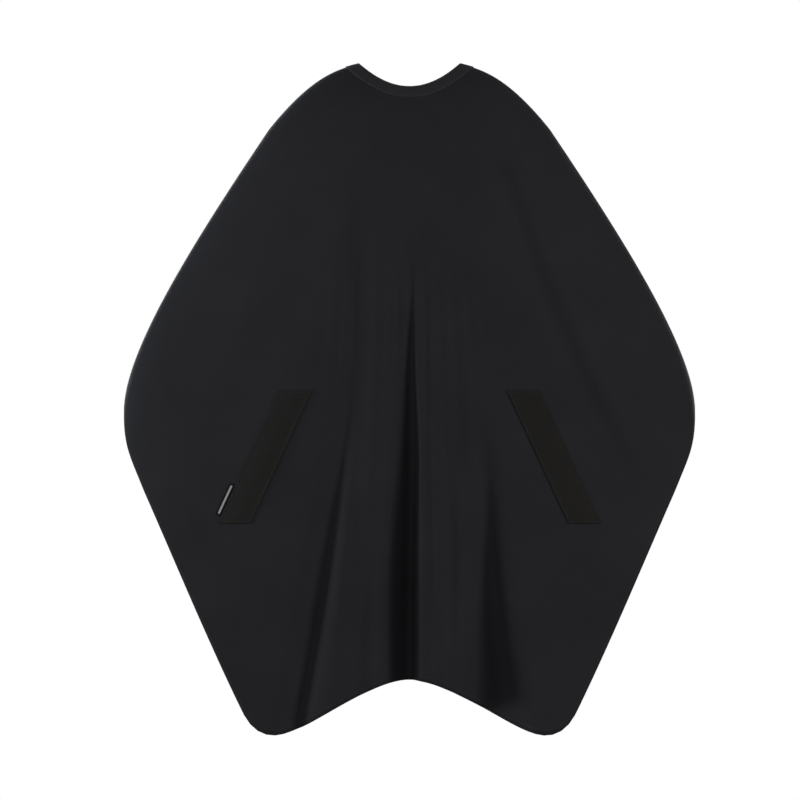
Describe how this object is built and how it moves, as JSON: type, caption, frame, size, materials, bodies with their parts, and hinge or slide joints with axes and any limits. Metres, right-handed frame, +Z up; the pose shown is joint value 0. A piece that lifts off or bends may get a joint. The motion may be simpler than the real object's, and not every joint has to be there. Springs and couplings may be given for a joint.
{
  "type": "barber cape",
  "caption": "Black salon cape worn with held-out arms: snap-fastened neckband, back slit, and hand slits under flaps.",
  "frame": {"origin": "centre of the neck opening, where the wearer's neck holds the cape up", "axes": "+Z up, -Y towards the front of the cape, +X to the right of someone facing the front"},
  "size_m": [1.087, 0.3525, 1.2744],
  "materials": {
    "panel_cloth": "matt black woven polyester with a faint cool sheen",
    "band_cloth": "matt black woven polyester, doubled and topstitched",
    "lining_cloth": "soft black neck lining",
    "interfacing": "stiff non-woven interfacing",
    "flap_cloth": "denser, slightly darker twill",
    "facing_cloth": "black binding cloth",
    "label_weave": "woven label with a plain pale stripe",
    "snap_resin": "moulded black resin, satin"
  },
  "bodies": {
    "cape": {"cape_panel": "panel_cloth", "neckband_outer": "band_cloth", "neckband_lining": "lining_cloth", "neckband_interfacing": "interfacing", "left_slit_facing": "facing_cloth", "right_slit_facing": "facing_cloth", "woven_label": "label_weave", "snap_stud_1": "snap_resin", "snap_stud_2": "snap_resin", "snap_stud_3": "snap_resin", "snap_stud_4": "snap_resin", "snap_post_1": "snap_resin", "snap_post_2": "snap_resin", "snap_post_3": "snap_resin", "snap_post_4": "snap_resin"},
    "left_flap": {"left_flap": "flap_cloth"},
    "right_flap": {"right_flap": "flap_cloth"},
    "closure_tab": {"closure_tab_outer": "band_cloth", "closure_tab_lining": "lining_cloth", "closure_tab_interfacing": "interfacing", "snap_cap_1": "snap_resin", "snap_cap_2": "snap_resin", "snap_socket_1": "snap_resin", "snap_socket_2": "snap_resin"}
  },
  "joints": [
    {"name": "left_flap_lift", "type": "hinge", "parent": "cape", "child": "left_flap", "pos_m": [-0.2989, -0.1518, -0.71175], "axis": [-0.4212, 0.0028, -0.9069], "range_deg": [0, 150]},
    {"name": "right_flap_lift", "type": "hinge", "parent": "cape", "child": "right_flap", "pos_m": [0.2989, -0.1518, -0.71175], "axis": [-0.4212, -0.0028, 0.9069], "range_deg": [0, 150]},
    {"name": "closure_tab_open", "type": "hinge", "parent": "cape", "child": "closure_tab", "pos_m": [0.0015, 0.0798, -0.0349], "axis": [0, 0.525, -0.8511], "range_deg": [0, 110]}
  ]
}
